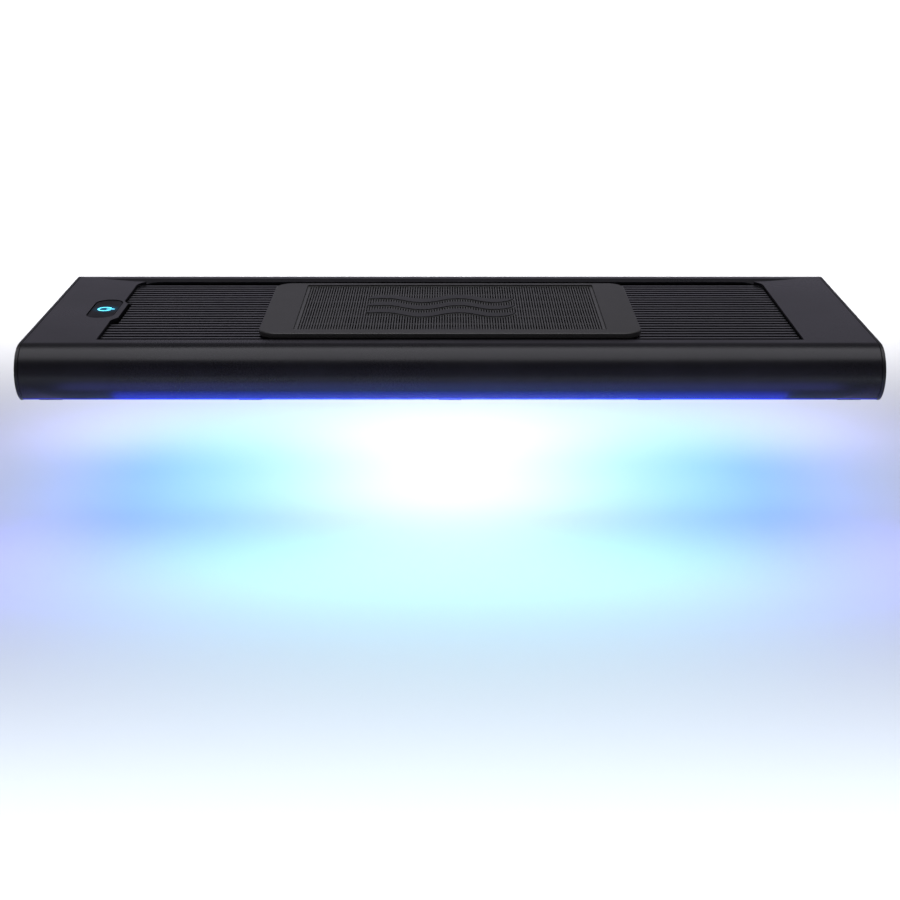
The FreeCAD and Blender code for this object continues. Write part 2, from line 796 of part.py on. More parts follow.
def fan_magnet(x):
    """Magnet ring inside the rotor's skirt."""
    low, high = fan_bottom + magnet_low, fan_bottom + magnet_top
    outer = hub_radius - cup_wall
    return rod(outer, x, fan_y, low, high).cut(rod(outer - ring_wall, x, fan_y, low - 1, high + 1))


def fan_shaft(x):
    return rod(shaft_radius, x, fan_y, fan_bottom + motor_plate + 0.1, fan_top - cup_drop - 1.0)


def blade_section(radius, half_chord, lean, high, low):
    """Thin curved section of a blade, at one radius. lean turns it round the hub, in degrees."""
    middle = (high + low) / 2 - 0.8
    under = [(-half_chord, high), (0, middle), (half_chord, low)]
    over = [(half_chord, low + 0.9), (0, middle + blade_thickness), (-half_chord, high + 0.7)]
    wire = Part.makePolygon([vec(radius, y, z) for y, z in under + over + under[:1]])
    wire.rotate(vec(0, 0, 0), vec(0, 0, 1), lean)
    return wire


def fan_rotor(x):
    """Cup-shaped hub with swept blades."""
    tip = fan_size / 2 - fan_wall - blade_clearance
    root = blade_section(hub_radius - 0.7, 6.4, 0, fan_bottom + 11.4, fan_bottom + 4.2)
    end = blade_section(fan_size / 2, 13.0, 14, fan_bottom + 9.6, fan_bottom + 4.4)
    blade = Part.makeLoft([root, end], True, True).common(rod(tip, 0, 0, fan_bottom, fan_top))
    blades = []
    for i in range(blade_count):
        turned = blade.copy()
        turned.rotate(vec(0, 0, 0), vec(0, 0, 1), i * 360 / blade_count)
        blades.append(turned)
    cup_top = fan_top - cup_drop
    cup = rod(hub_radius, 0, 0, fan_bottom + cup_low, cup_top)
    rim = [e for e in cup.Edges if e.CenterOfMass.z > cup_top - 0.1 and len(e.Vertexes) == 1]
    cup = cup.makeFillet(cup_rounding, rim)
    rotor = fused([cup] + blades)
    rotor = rotor.cut(rod(hub_radius - cup_wall, 0, 0, fan_bottom, cup_top - cup_roof))
    boss = rod(shaft_radius + 1.8, 0, 0, fan_bottom + tube_top + 0.4, cup_top - 1.4)
    rotor = fused([rotor, boss]).cut(rod(shaft_radius, 0, 0, fan_bottom, cup_top - 1.0))
    rotor.translate(vec(x, fan_y, 0))
    return rotor


def fan_screws():
    """Screws down through the fans' corners into the pillars of the sink."""
    screws = []
    for x, y in fan_hole_places():
        head_top = fan_top - 0.3
        head = rod(low_head_radius, x, y, fan_top - head_depth, head_top)
        shank = rod(screw_radius, x, y, base_top - 2.2, fan_top - head_depth)
        long, wide = cross_length / 2, cross_width / 2
        cross = fused([box(x - a, x + a, y - b, y + b, head_top - cross_depth, fan_top)
                       for a, b in ((long, wide), (wide, long))])
        screws.append(fused([head, shank]).cut(cross))
    return group(screws)


# ---- fan cover ----
def fan_cover():
    """Raised frame over the fans, rounded at its corners, undercut all round, with a seat for the grille."""
    cover = rounded_plate(-cover_x, cover_x, cover_front, cover_rear, cover_corner, cover_bottom, cover_top)
    upper = [e for e in cover.Edges if e.BoundBox.ZMin > cover_top - 1e-6]
    cover = cover.makeFillet(cover_rounding, upper)
    lower = [e for e in cover.Edges if e.BoundBox.ZMax < cover_bottom + 1e-6]
    cover = cover.makeChamfer(cover_undercut, lower)
    seat = rounded_plate(-grille_x, grille_x, grille_front, grille_rear, 1.5, grille_bottom, cover_top + 1)
    through = rounded_plate(-grille_x + grille_ledge, grille_x - grille_ledge, grille_front + grille_ledge,
                            grille_rear - grille_ledge, 2.0, cover_bottom - 1, grille_bottom + 1)
    magnet_top = cover_bottom + magnet_height
    magnets = rods(magnet_radius + 0.05, cover_magnet_places(), cover_bottom - 1, magnet_top)
    return cut_away(cover, [seat, through] + magnets)


def wave(y, extra):
    """Plan of one wavy band of the badge: two full waves, pointed at both ends. extra widens it."""
    half = badge_length / 2 + extra
    steps = 12
    upper, lower = [], []
    for i in range(steps + 1):
        t = -1 + 2 * i / steps
        swell = math.sin(2 * math.pi * t) * badge_wave
        width = (badge_band / 2) * math.sqrt(max(0.0, 1 - t**6)) + extra
        if i in (0, steps):
            width = 0.0
        upper.append(vec(badge_x + t * half, y + swell + width, 0))
        lower.append(vec(badge_x + t * half, y + swell - width, 0))
    top = Part.BSplineCurve()
    top.interpolate(upper)
    bottom = Part.BSplineCurve()
    bottom.interpolate(lower)
    return Part.Face(Part.Wire([top.toShape(), bottom.toShape()]))


def badge_bands(extra, z0, z1):
    bands = []
    for i in (-1, 0, 1):
        band = wave(badge_y + i * badge_step, extra).extrude(vec(0, 0, z1 - z0))
        band.translate(vec(0, 0, z0))
        bands.append(band)
    return bands


def fan_grille():
    """Ribbed grille. Its slots stop at the badge, and bars across the underside stiffen the ribs."""
    gap = 0.1
    plate = rounded_plate(-grille_x + gap, grille_x - gap, grille_front + gap, grille_rear - gap, 1.4,
                          grille_bottom, grille_top)
    count = int((2 * grille_x - 2.4) // slot_pitch)
    front, rear = grille_front + slot_margin, grille_rear - slot_margin
    slots = []
    for i in range(count):
        x = (i - (count - 1) / 2) * slot_pitch
        half = slot_width / 2
        slots.append(box(x - half, x + half, front, rear, grille_bottom - 1, grille_top + 1))
    badge_room = Part.makeCompound(badge_bands(badge_margin, grille_bottom - 2, grille_top + 2))
    grille = plate.cut(Part.makeCompound(slots).cut(badge_room))
    bars = []
    step = (rear - front) / (grille_bars + 1)
    inner = grille_x - grille_ledge - 0.3
    for i in range(grille_bars):
        y = front + (i + 1) * step
        half = grille_bar / 2
        z0 = grille_bottom - grille_bar_depth
        bars.append(box(-inner, inner, y - half, y + half, z0, grille_bottom + 0.5))
    return fused([grille] + bars)


def cover_badge():
    return group(badge_bands(0.0, grille_top, grille_top + badge_height))


def cover_magnets():
    return group(rods(magnet_radius, cover_magnet_places(), cover_bottom, cover_bottom + magnet_height))


def cover_keepers():
    """Steel discs on the sink's posts, under the cover's magnets."""
    return group(rods(magnet_radius, cover_magnet_places(), keeper_bottom, keeper_top))


# ---- push key ----
def icon_shape(z0, z1):
    """Standby sign: a ring that is open at one side, and a bar in the opening."""
    gap, line = sign_opening / 2, sign_line / 2
    ring = rod(sign_radius, key_x, key_y, z0, z1)
    ring = ring.cut(rod(sign_radius - sign_line, key_x, key_y, z0 - 1, z1 + 1))
    ring = ring.cut(box(key_x, key_x + 2 * sign_radius, key_y - gap, key_y + gap, z0 - 1, z1 + 1))
    bar = box(key_x + 1.0, key_x + sign_radius + 1.4, key_y - line, key_y + line, z0, z1)
    return [ring, bar]


def key_cap():
    """Key with a flange that keeps it in and a plunger under its middle."""
    top = body_height - key_recess
    body = pill(key_x, key_y, key_width - 2 * slide_gap, key_length - 2 * slide_gap, key_flange_bottom, top)
    rim = [e for e in body.Edges if e.BoundBox.ZMin > top - 1e-6]
    body = body.makeChamfer(0.5, rim)
    wide = 2 * key_flange
    flange = pill(key_x, key_y, key_width + wide, key_length + wide, key_flange_bottom, key_flange_top)
    plunger = rod(plunger_radius, key_x, key_y, plunger_bottom, key_flange_bottom + 0.5)
    key = fused([body, flange, plunger])
    return cut_away(key, icon_shape(top - sign_depth, top + 1))


def key_icon():
    top = body_height - key_recess
    return group(icon_shape(top - sign_depth, top))


def key_carrier():
    """Frame under the shell that guides the key's flange and carries the key's board."""
    low = key_board_top + carrier_wall
    inner = 2 * (key_flange + slide_gap)
    frame = pill(key_x, key_y, key_width + carrier_growth, key_length + carrier_growth, low, ceiling)
    hollow = pill(key_x, key_y, key_width + inner, key_length + inner, low + carrier_wall, ceiling + 1)
    hole = box(key_x - 4, key_x + 4, key_y - 4, key_y + 4, low - 1, low + 2)
    pegs = rods(1.2, [(key_x, key_y + side * key_length * 0.3) for side in (-1, 1)], key_board_top, low)
    return fused([cut_away(frame, [hollow, hole])] + pegs)


def key_board():
    return pill(key_x, key_y, key_width, key_length, key_board_top - key_board_thickness, key_board_top)


def key_switch():
    half = switch_width / 2
    return box(key_x - half, key_x + half, key_y - half, key_y + half, key_board_top, switch_top)


def key_dome():
    """Silicone dome that springs the key back."""
    return Part.makeCone(2.8, 1.9, dome_height, vec(key_x, key_y, switch_top))


def key_lamps():
    """Two small lamps that light the sign through the key."""
    top = key_board_top + 0.8
    places = [key_y + side * 7 for side in (-1, 1)]
    return group([box(key_x - 1.6, key_x + 1.6, y - 1, y + 1, key_board_top, top) for y in places])


# ---- electronics ----
def circuit_board(side):
    x = side * circuit_x
    half = circuit_width / 2
    board = box(x - half, x + half, -circuit_length / 2, circuit_length / 2, circuit_bottom, circuit_top)
    holes = rods(screw_radius + slide_gap, circuit_screw_places(), circuit_bottom - 1, circuit_top + 1)
    return cut_away(board, holes)


def circuit_screw_places():
    half = circuit_width / 2 - circuit_end_gap
    end = circuit_length / 2 - circuit_end_gap
    return [(side * circuit_x + dx, dy) for side in (-1, 1) for dx in (-half, half) for dy in (-end, end)]


def circuit_posts():
    """Tapped posts between the sink's base and the circuit boards."""
    threads = rods(screw_radius, circuit_screw_places(), base_top - 1, circuit_bottom + 1)
    tubes = rods(post_radius, circuit_screw_places(), base_top, circuit_bottom)
    return group([cut_away(tube, threads) for tube in tubes])


def circuit_screws():
    screws = []
    for x, y in circuit_screw_places():
        shank = rod(screw_radius, x, y, base_top + 0.4, circuit_top)
        head = rod(low_head_radius, x, y, circuit_top, circuit_top + low_head_height)
        screws.append(fused([shank, head]))
    return group(screws)


def radio_module():
    long, deep, tall = radio_size
    return box(-circuit_x - long / 2, -circuit_x + long / 2, radio_y - deep / 2, radio_y + deep / 2,
               circuit_top, circuit_top + tall)


def circuit_chips():
    """Flat black packages on both boards."""
    shapes = []
    for side, y, width in ((-1, 38, 10), (-1, 20, 6), (1, -33, 8), (1, -6, 6), (1, 10, 6)):
        x0 = side * circuit_x - width / 2
        y0 = y - width / 2
        shapes.append(box(x0, x0 + width, y0, y0 + width, circuit_top, circuit_top + chip_height))
    return group(shapes)


def driver_coils():
    """Shielded coils of the LED drivers."""
    x0, x1 = circuit_x - 6, circuit_x - 6 + coil_size
    half = coil_size / 2
    top = circuit_top + coil_height
    return group([rounded_plate(x0, x1, y - half, y + half, 1.5, circuit_top, top) for y in coil_places])


def capacitors():
    places = [(circuit_x + 8, y) for y in capacitor_places]
    return group(rods(capacitor_radius, places, circuit_top, circuit_top + capacitor_height))


def lead_y():
    """The fin gap that the fan leads run in."""
    fins = fin_places()
    wanted = fan_y - fan_size / 4
    gaps = [(a + b) / 2 for a, b in zip(fins, fins[1:])]
    return min(gaps, key=lambda y: abs(y - wanted))


def connector_x():
    """Inner face of the connectors on the circuit boards."""
    return circuit_x - circuit_width / 2 + 1.0


def lead_connectors():
    """Fan and link connectors on the two boards."""
    top = circuit_top + connector_height
    front = -circuit_length / 2 + 1
    half = connector_width / 2
    shapes = []
    for side in (-1, 1):
        x0, x1 = sorted((side * connector_x(), side * (connector_x() + connector_depth)))
        shapes.append(box(x0, x1, lead_y() - half, lead_y() + half, circuit_top, top))
        x = side * circuit_x
        shapes.append(box(x - 4, x + 4, front, front + connector_depth, circuit_top, top))
    return group(shapes)


def fan_lead(side):
    """Fan lead, laid in a gap between two fins, to the connector at that end."""
    low = base_top + low_fin_height + 1.5
    high = circuit_top + 2.2
    start = fan_x + fan_size / 2
    fin_end = window_x - fin_end_gap
    points = [(start, low), (fin_end - 24, low), (fin_end - 9, high), (connector_x(), high)]
    return lead([(side * x, lead_y(), z) for x, z in points], lead_diameter)


def board_link():
    """Lead from board to board through the hollow front edge."""
    channel = -(half_flat + inner_radius * 0.4)
    start = -circuit_length / 2 + 1
    z = circuit_top + 2.2
    x = circuit_x
    return lead([(x, start, z), (x, channel, z), (-x, channel, z), (-x, start, z)], link_diameter)


def socket_height():
    return circuit_top + socket_radius + 0.4


def power_socket():
    """Barrel socket on the right board. Its mouth is flush with the end cap."""
    z = socket_height()
    half = socket_radius + 0.3
    top = z + socket_radius
    block = box(half_length - 16, cap_inner - 1.2, socket_y - half, socket_y + half, circuit_top, top)
    mouth = rod_x(socket_radius, cap_inner - 2, half_length, socket_y, z)
    body = fused([block, mouth])
    return body.cut(rod_x(socket_bore, half_length - socket_depth, half_length + 1, socket_y, z))


def power_pin():
    z = socket_height()
    return rod_x(socket_pin, half_length - socket_depth, half_length - 0.5, socket_y, z)


# ---- write one STEP file a node ----
nodes = {
    "housing_shell": housing_shell(),
    "end_cap_left": end_cap(-1),
    "end_cap_right": end_cap(1),
    "end_seal_left": end_seal(-1),
    "end_seal_right": end_seal(1),
    "cap_screws": cap_screws(),
    "mount_inserts_left": mount_inserts(-1),
    "mount_inserts_right": mount_inserts(1),
    "diffuser_panel": diffuser_panel(),
    "diffuser_seal": diffuser_seal(),
    "diffuser_clips": diffuser_clips(),
    "led_boards": board_layer(board_bottom, board_top),
    "thermal_pads": board_layer(board_top, base_bottom),
    "led_board_screws": board_screws(),
    "leds_white": leds("white"),
    "leds_blue": leds("blue"),
    "leds_violet": leds("violet"),
    "leds_red": leds("red"),
    "reflector_frame": reflector_frame(),
    "heat_sink": heat_sink(),
    "fan_screws": fan_screws(),
    "fan_cover": fan_cover(),
    "fan_grille": fan_grille(),
    "cover_badge": cover_badge(),
    "cover_magnets": cover_magnets(),
    "cover_keepers": cover_keepers(),
    "key_cap": key_cap(),
    "key_icon": key_icon(),
    "key_carrier": key_carrier(),
    "key_board": key_board(),
    "key_switch": key_switch(),
    "key_dome": key_dome(),
    "key_lamps": key_lamps(),
    "control_board": circuit_board(-1),
    "driver_board": circuit_board(1),
    "circuit_posts": circuit_posts(),
    "circuit_screws": circuit_screws(),
    "radio_module": radio_module(),
    "circuit_chips": circuit_chips(),
    "driver_coils": driver_coils(),
    "capacitors": capacitors(),
    "lead_connectors": lead_connectors(),
    "board_link_lead": board_link(),
    "power_socket": power_socket(),
    "power_pin": power_pin(),
}
for name, side in (("left", -1), ("right", 1)):
    x = side * fan_x
    nodes[f"fan_frame_{name}"] = fan_frame(x)
    nodes[f"fan_rotor_{name}"] = fan_rotor(x)
    nodes[f"fan_shaft_{name}"] = fan_shaft(x)
    nodes[f"fan_magnet_{name}"] = fan_magnet(x)
    nodes[f"fan_bush_{name}"] = fan_bush(x)
    nodes[f"fan_stator_{name}"] = fan_stator(x)
    nodes[f"fan_lead_{name}"] = fan_lead(side)

os.makedirs("parts", exist_ok=True)
for node, shape in nodes.items():
    shape.exportStep(f"parts/{node}.step")
    state = "ok" if shape.isValid() and shape.Solids else "NOT VALID"
    print(f"{node:22s} {len(shape.Solids):4d} solids {shape.Volume:12.1f} mm3 {state}")
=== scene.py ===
"""LED aquarium light: materials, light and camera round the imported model. Metres throughout."""
import json
import math

import bpy
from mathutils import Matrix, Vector


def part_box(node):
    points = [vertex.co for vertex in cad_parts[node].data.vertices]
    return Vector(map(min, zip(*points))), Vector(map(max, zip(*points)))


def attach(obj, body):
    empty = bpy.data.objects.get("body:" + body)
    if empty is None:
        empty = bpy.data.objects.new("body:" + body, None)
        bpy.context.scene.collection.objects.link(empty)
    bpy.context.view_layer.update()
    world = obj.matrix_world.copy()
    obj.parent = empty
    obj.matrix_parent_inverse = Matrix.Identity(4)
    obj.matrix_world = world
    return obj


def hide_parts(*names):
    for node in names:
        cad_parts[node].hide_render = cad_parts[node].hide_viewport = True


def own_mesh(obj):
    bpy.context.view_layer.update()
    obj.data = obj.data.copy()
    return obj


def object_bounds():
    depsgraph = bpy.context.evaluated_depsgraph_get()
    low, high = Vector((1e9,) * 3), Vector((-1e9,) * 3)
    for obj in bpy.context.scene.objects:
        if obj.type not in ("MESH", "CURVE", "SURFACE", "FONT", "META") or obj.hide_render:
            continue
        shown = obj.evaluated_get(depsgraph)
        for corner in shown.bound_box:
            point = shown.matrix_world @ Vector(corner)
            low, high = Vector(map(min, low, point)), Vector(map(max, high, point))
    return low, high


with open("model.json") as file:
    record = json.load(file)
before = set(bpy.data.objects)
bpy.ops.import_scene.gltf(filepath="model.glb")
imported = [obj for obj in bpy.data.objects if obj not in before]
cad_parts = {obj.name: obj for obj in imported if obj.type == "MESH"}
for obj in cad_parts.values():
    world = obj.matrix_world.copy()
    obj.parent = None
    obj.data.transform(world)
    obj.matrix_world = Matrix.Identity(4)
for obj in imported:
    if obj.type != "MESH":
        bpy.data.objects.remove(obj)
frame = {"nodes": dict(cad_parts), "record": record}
nodes = frame["nodes"]
cad_box = [list(corner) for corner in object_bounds()]
low, high = (Vector(corner) for corner in cad_box)

# ---- places that follow from the frame ----
half_length = high.x
floor_z = low.z - 0.09     # the floor lies this far below the light
icon_low, icon_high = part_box("key_icon")
icon_centre = (icon_low + icon_high) / 2

# ---- camera ----
LENS = 64.0
SENSOR = 36.0
NEAR_AND_FAR = (0.01, 60.0)
CAMERA_PITCH = math.radians(20.11)
CAMERA_PLACE = (0.0, -0.9703, 0.2926)

# ---- set ----
FLOOR_SIZE = 14.0
FLOOR_PALE = 0.46
SKY_STRENGTH = 0.37
OVERHEAD_POWER = 2.56
OVERHEAD_ANGLE = math.radians(62)
FLOOR_LAMP_SPREAD = 60     # degrees, so that the floor lamps don't light the object

# ---- the diffuser ----
LED_PITCH = 0.017
RIM_START = 0.0850         # distance from the middle line where the rim's colour begins
RIM_FULL = 0.0860          # and where it is full

# ---- light colours ----
WHITE_GLOW = (0.95, 1.0, 1.0)
CYAN_GLOW = (0.30, 0.92, 1.0)
BLUE_GLOW = (0.10, 0.48, 1.0)
VIOLET_GLOW = (0.28, 0.32, 1.0)
RIM_BLUE = (0.020, 0.040, 1.0)
NOSE_BLUE = (0.20, 0.22, 1.0)
FORWARD_CYAN = (0.14, 0.76, 0.92)
FORWARD_BLUE = (0.12, 0.10, 1.0)
BACK_WHITE = (0.80, 0.95, 1.0)
BACK_CYAN = (0.15, 0.90, 0.95)
LILAC = (0.42, 0.38, 1.0)
FRONT_WHITE = (0.80, 0.90, 1.0)
OVERHEAD_TINT = (0.94, 0.93, 1.0)
ICON_CYAN = (0.06, 0.62, 0.95)
SKY = (                    # (height of the direction, from level at 0 to straight up at 1, colour)
    (0.28, (0.86, 0.82, 1.0)),
    (0.52, (0.20, 0.20, 0.21)),
)

# ---- lamps ----
LAMPS = {                  # row: (name, place along X, width, colour, power)
    "glow": [
        ("middle", 0.0, 0.12, WHITE_GLOW, 0.20),
        ("cyan", 0.11, 0.09, CYAN_GLOW, 0.10),
        ("blue", 0.185, 0.06, BLUE_GLOW, 0.08),
        ("violet", 0.235, 0.04, VIOLET_GLOW, 0.075),
    ],
    "back": [
        ("middle", 0.0, 0.20, BACK_WHITE, 0.14),
        ("cyan", 0.15, 0.10, BACK_CYAN, 0.055),
        ("end", 0.24, 0.08, LILAC, 0.105),
    ],
    "forward": [
        ("middle", 0.0, 0.34, FORWARD_CYAN, 0.40),
        ("end", 0.22, 0.10, FORWARD_BLUE, 0.13),
    ],
    "front": [("end", 0.225, 0.05, LILAC, 0.05)],
}
FLOOR_LAMPS = [            # (name, Y, height, size, power, colour)
    ("floor_behind", 2.58, 0.34, (8.0, 4.6), 200.0, (1, 1, 1)),
    ("floor_in_front", -0.60, 0.5, (2.0, 0.44), 8.8, FRONT_WHITE),
]
LIP_LAMPS = [              # (name, offset from the front lip, aim from the lip, size, power, colour)
    ("nose_glow", (0, -0.030, -0.020), (0, 0, 0.010), (0.47, 0.03), 0.14, NOSE_BLUE),
    ("lip_glow", (0, 0.004, -0.020), (0, 0.004, 0), (0.40, 0.024), 0.24, RIM_BLUE),
]


# ---- node helpers ----
class Graph:
    """Short way to build a material's nodes. Calls return output sockets."""

    def __init__(self, name):
        self.material = bpy.data.materials.new(name)
        self.material.use_nodes = True
        self.tree = self.material.node_tree
        self.tree.nodes.clear()
        self.shader = self.add("ShaderNodeBsdfPrincipled")
        out = self.add("ShaderNodeOutputMaterial")
        self.tree.links.new(self.shader.outputs["BSDF"], out.inputs["Surface"])

    def add(self, kind, **values):
        node = self.tree.nodes.new(kind)
        for key, value in values.items():
            setattr(node, key, value)
        return node

    def link(self, source, target):
        self.tree.links.new(source, target)

    def feed(self, value, socket):
        if isinstance(value, bpy.types.NodeSocket):
            self.link(value, socket)
        else:
            socket.default_value = value

    def set(self, **inputs):
        """Sets or links the shader's inputs; underscores stand for spaces."""
        for key, value in inputs.items():
            if isinstance(value, tuple) and len(value) == 3:
                value = (*value, 1.0)
            self.feed(value, self.shader.inputs[key.replace("_", " ")])

    def position(self):
        """The object's own coordinates, which are the row frame in metres."""
        return self.add("ShaderNodeTexCoord").outputs["Object"]

    def scaled(self, scale):
        """Object coordinates, stretched along each axis."""
        mapping = self.add("ShaderNodeMapping")
        self.link(self.position(), mapping.inputs["Vector"])
        mapping.inputs["Scale"].default_value = scale
        return mapping.outputs["Vector"]

    def axis(self, name):
        parts = self.add("ShaderNodeSeparateXYZ")
        self.link(self.position(), parts.inputs[0])
        return parts.outputs[name]

    def noise(self, scale, detail=3.0, stretch=(1, 1, 1), roughness=0.5):
        node = self.add("ShaderNodeTexNoise")
        self.link(self.scaled(stretch), node.inputs["Vector"])
        node.inputs["Scale"].default_value = scale
        node.inputs["Detail"].default_value = detail
        node.inputs["Roughness"].default_value = roughness
        return node.outputs["Fac"]

    def math(self, operation, a, b=0.0):
        node = self.add("ShaderNodeMath", operation=operation)
        self.feed(a, node.inputs[0])
        self.feed(b, node.inputs[1])
        return node.outputs[0]

    def span(self, value, low, high, to_low, to_high):
        """Maps a range of values onto another, and stays inside it."""
        node = self.add("ShaderNodeMapRange")
        self.feed(value, node.inputs["Value"])
        for key, number in (("From Min", low), ("From Max", high), ("To Min", to_low), ("To Max", to_high)):
            node.inputs[key].default_value = number
        return node.outputs["Result"]

    def mix(self, share, a, b):
        node = self.add("ShaderNodeMix", data_type="RGBA")
        self.feed(share, node.inputs["Factor"])
        for value, socket in ((a, node.inputs[6]), (b, node.inputs[7])):
            self.feed((*value, 1.0) if isinstance(value, tuple) else value, socket)
        return node.outputs[2]

    def ramp(self, value, stops):
        node = self.add("ShaderNodeValToRGB")
        self.feed(value, node.inputs["Fac"])
        elements = node.color_ramp.elements
        while len(elements) < len(stops):
            elements.new(0.5)
        for element, (place, colour) in zip(elements, stops):
            element.position = place
            element.color = (*colour, 1.0)
        return node.outputs["Color"]

    def bump(self, heights, distance, strength=1.0, soft_edge=0.0):
        node = self.add("ShaderNodeBump")
        node.inputs["Strength"].default_value = strength
        node.inputs["Distance"].default_value = distance
        self.feed(heights, node.inputs["Height"])
        if soft_edge:
            edge = self.add("ShaderNodeBevel", samples=4)
            edge.inputs["Radius"].default_value = soft_edge
            self.link(edge.outputs["Normal"], node.inputs["Normal"])
        self.link(node.outputs["Normal"], self.shader.inputs["Normal"])


def scaled_colour(colour, factor):
    return tuple(channel * factor for channel in colour)


# ---- materials ----
def satin_metal(name, colour, rough, specular, grain=(1, 1, 1), soft_edge=0.00025):
    """Black anodised or coated metal: fine grain, cloudy sheen, slightly lighter dust."""
    g = Graph(name)
    cloud = g.noise(9.0, 4.0)
    fine = g.noise(2600.0, 2.0, grain)
    dust = g.span(g.noise(60.0, 5.0), 0.45, 0.75, 0.0, 0.35)
    g.set(Base_Color=g.mix(dust, colour, scaled_colour(colour, 1.9)), Metallic=0.0, IOR=1.5)
    g.set(Specular_IOR_Level=specular)
    g.set(Roughness=g.math("ADD", g.span(cloud, 0.3, 0.7, rough - 0.03, rough + 0.04),
                           g.span(fine, 0.3, 0.7, -0.02, 0.03)))
    g.bump(fine, 0.00001, 0.25, soft_edge)
    return g.material


def moulded(name, colour, rough, specular=0.35, texture=1500.0, depth=0.00003, soft_edge=0.0002):
    """Moulded plastic with a fine eroded texture."""
    g = Graph(name)
    skin = g.noise(texture, 4.0, roughness=0.6)
    cloud = g.noise(14.0, 3.0)
    patches = g.span(skin, 0.35, 0.7, 0.0, 1.0)
    g.set(Base_Color=g.mix(patches, scaled_colour(colour, 0.8), scaled_colour(colour, 1.25)))
    g.set(Specular_IOR_Level=specular, IOR=1.5)
    g.set(Roughness=g.math("ADD", g.span(cloud, 0.3, 0.7, rough - 0.03, rough + 0.03),
                           g.span(skin, 0.3, 0.7, -0.03, 0.04)))
    g.bump(skin, depth, 0.5, soft_edge)
    return g.material


def rubber(name, colour):
    g = Graph(name)
    skin = g.noise(900.0, 3.0)
    g.set(Base_Color=g.mix(skin, scaled_colour(colour, 0.7), scaled_colour(colour, 1.4)))
    g.set(Roughness=g.span(skin, 0.3, 0.7, 0.7, 0.85), Specular_IOR_Level=0.25)
    g.bump(skin, 0.00002, 0.4)
    return g.material


def bare_metal(name, colour, rough, lines=(1, 1, 1)):
    """Turned, plated or brushed metal."""
    g = Graph(name)
    marks = g.noise(1800.0, 3.0, lines)
    stain = g.noise(120.0, 4.0)
    stained = g.span(stain, 0.4, 0.75, 0.0, 0.5)
    g.set(Base_Color=g.mix(stained, colour, scaled_colour(colour, 0.7)), Metallic=1.0)
    g.set(Roughness=g.span(marks, 0.3, 0.7, rough - 0.06, rough + 0.1))
    g.bump(marks, 0.00001, 0.3, 0.00008)
    return g.material


def glowing_key_sign():
    g = Graph("lit_icon")
    soft = g.noise(900.0, 2.0)
    g.set(Base_Color=(0.02, 0.2, 0.3), Roughness=0.3, Emission_Color=g.mix(soft, ICON_CYAN, (0.16, 0.78, 1.0)))
    g.set(Emission_Strength=2.6)
    return g.material


def key_gloss():
    """Dark smoked gloss with a painted faint blue glow round the lit sign."""
    g = Graph("key_gloss")
    away = g.add("ShaderNodeVectorMath", operation="DISTANCE")
    g.link(g.position(), away.inputs[0])
    away.inputs[1].default_value = tuple(icon_centre)
    # painted glow: blue emission on the key face, strongest at the lit sign and fading to nothing 10.5 mm from
    # its middle
    painted_glow = g.math("POWER", g.span(away.outputs["Value"], 0.002, 0.0105, 1.0, 0.0), 2.2)
    smudge = g.noise(220.0, 5.0)
    g.set(Base_Color=(0.002, 0.002, 0.003), Roughness=g.span(smudge, 0.35, 0.75, 0.30, 0.40), IOR=1.12)
    # colour and strength of the painted glow round the sign
    g.set(Emission_Color=(0.0, 0.30, 0.55), Emission_Strength=g.math("MULTIPLY", painted_glow, 0.35))
    g.bump(g.noise(400.0, 2.0), 0.00001, 0.1, 0.0002)
    return g.material


def glow_stops(strength):
    """Colour along the light's length, from the middle to the end."""
    return [
        (0.0, scaled_colour(WHITE_GLOW, strength)),
        (0.30, scaled_colour(WHITE_GLOW, 0.8 * strength)),
        (0.52, scaled_colour(CYAN_GLOW, 0.62 * strength)),
        (0.76, scaled_colour(BLUE_GLOW, 0.45 * strength)),
        (1.0, scaled_colour(VIOLET_GLOW, 0.30 * strength)),
    ]


def lit_diffuser():
    """Frosted sheet lit by rows of LEDs: bright spots, white in the middle and blue at the ends. Its rim
    glows saturated blue, brightest in the middle: the sheet's own edge, coloured as a painted reflection of
    the blue glow along the housing's lower lip."""
    g = Graph("lit_diffuser")
    along = g.math("ABSOLUTE", g.math("DIVIDE", g.axis("X"), half_length))
    across = g.math("ABSOLUTE", g.axis("Y"))
    squares = [g.math("POWER", g.math("PINGPONG", g.axis(axis), LED_PITCH / 2), 2.0) for axis in ("X", "Y")]
    radius = g.math("SQRT", g.math("ADD", *squares))
    spot = g.span(radius, 0.001, 0.0075, 1.35, 0.85)
    frost = g.span(g.noise(1400.0, 2.0), 0.3, 0.7, 0.96, 1.04)
    body = g.ramp(along, glow_stops(1.0))
    # painted reflection: the rim's saturated blue, brightest in the middle, stands for the blue glow along the
    # lip
    rim = g.ramp(along, [
        (0.0, scaled_colour(RIM_BLUE, 3.0)),
        (0.45, scaled_colour(RIM_BLUE, 2.0)),
        (0.8, scaled_colour(RIM_BLUE, 0.4)),
        (1.0, scaled_colour(RIM_BLUE, 0.25)),
    ])
    # the rim band, which carries the painted reflection
    edge = g.span(across, RIM_START, RIM_FULL, 0.0, 1.0)
    g.set(Base_Color=g.mix(edge, (0.55, 0.62, 0.7), (0.004, 0.006, 0.05)), Roughness=0.55)
    g.set(Emission_Color=g.mix(edge, body, rim), Emission_Strength=g.math("MULTIPLY", spot, frost))
    g.bump(g.noise(1400.0, 2.0), 0.00002, 0.4)
    return g.material


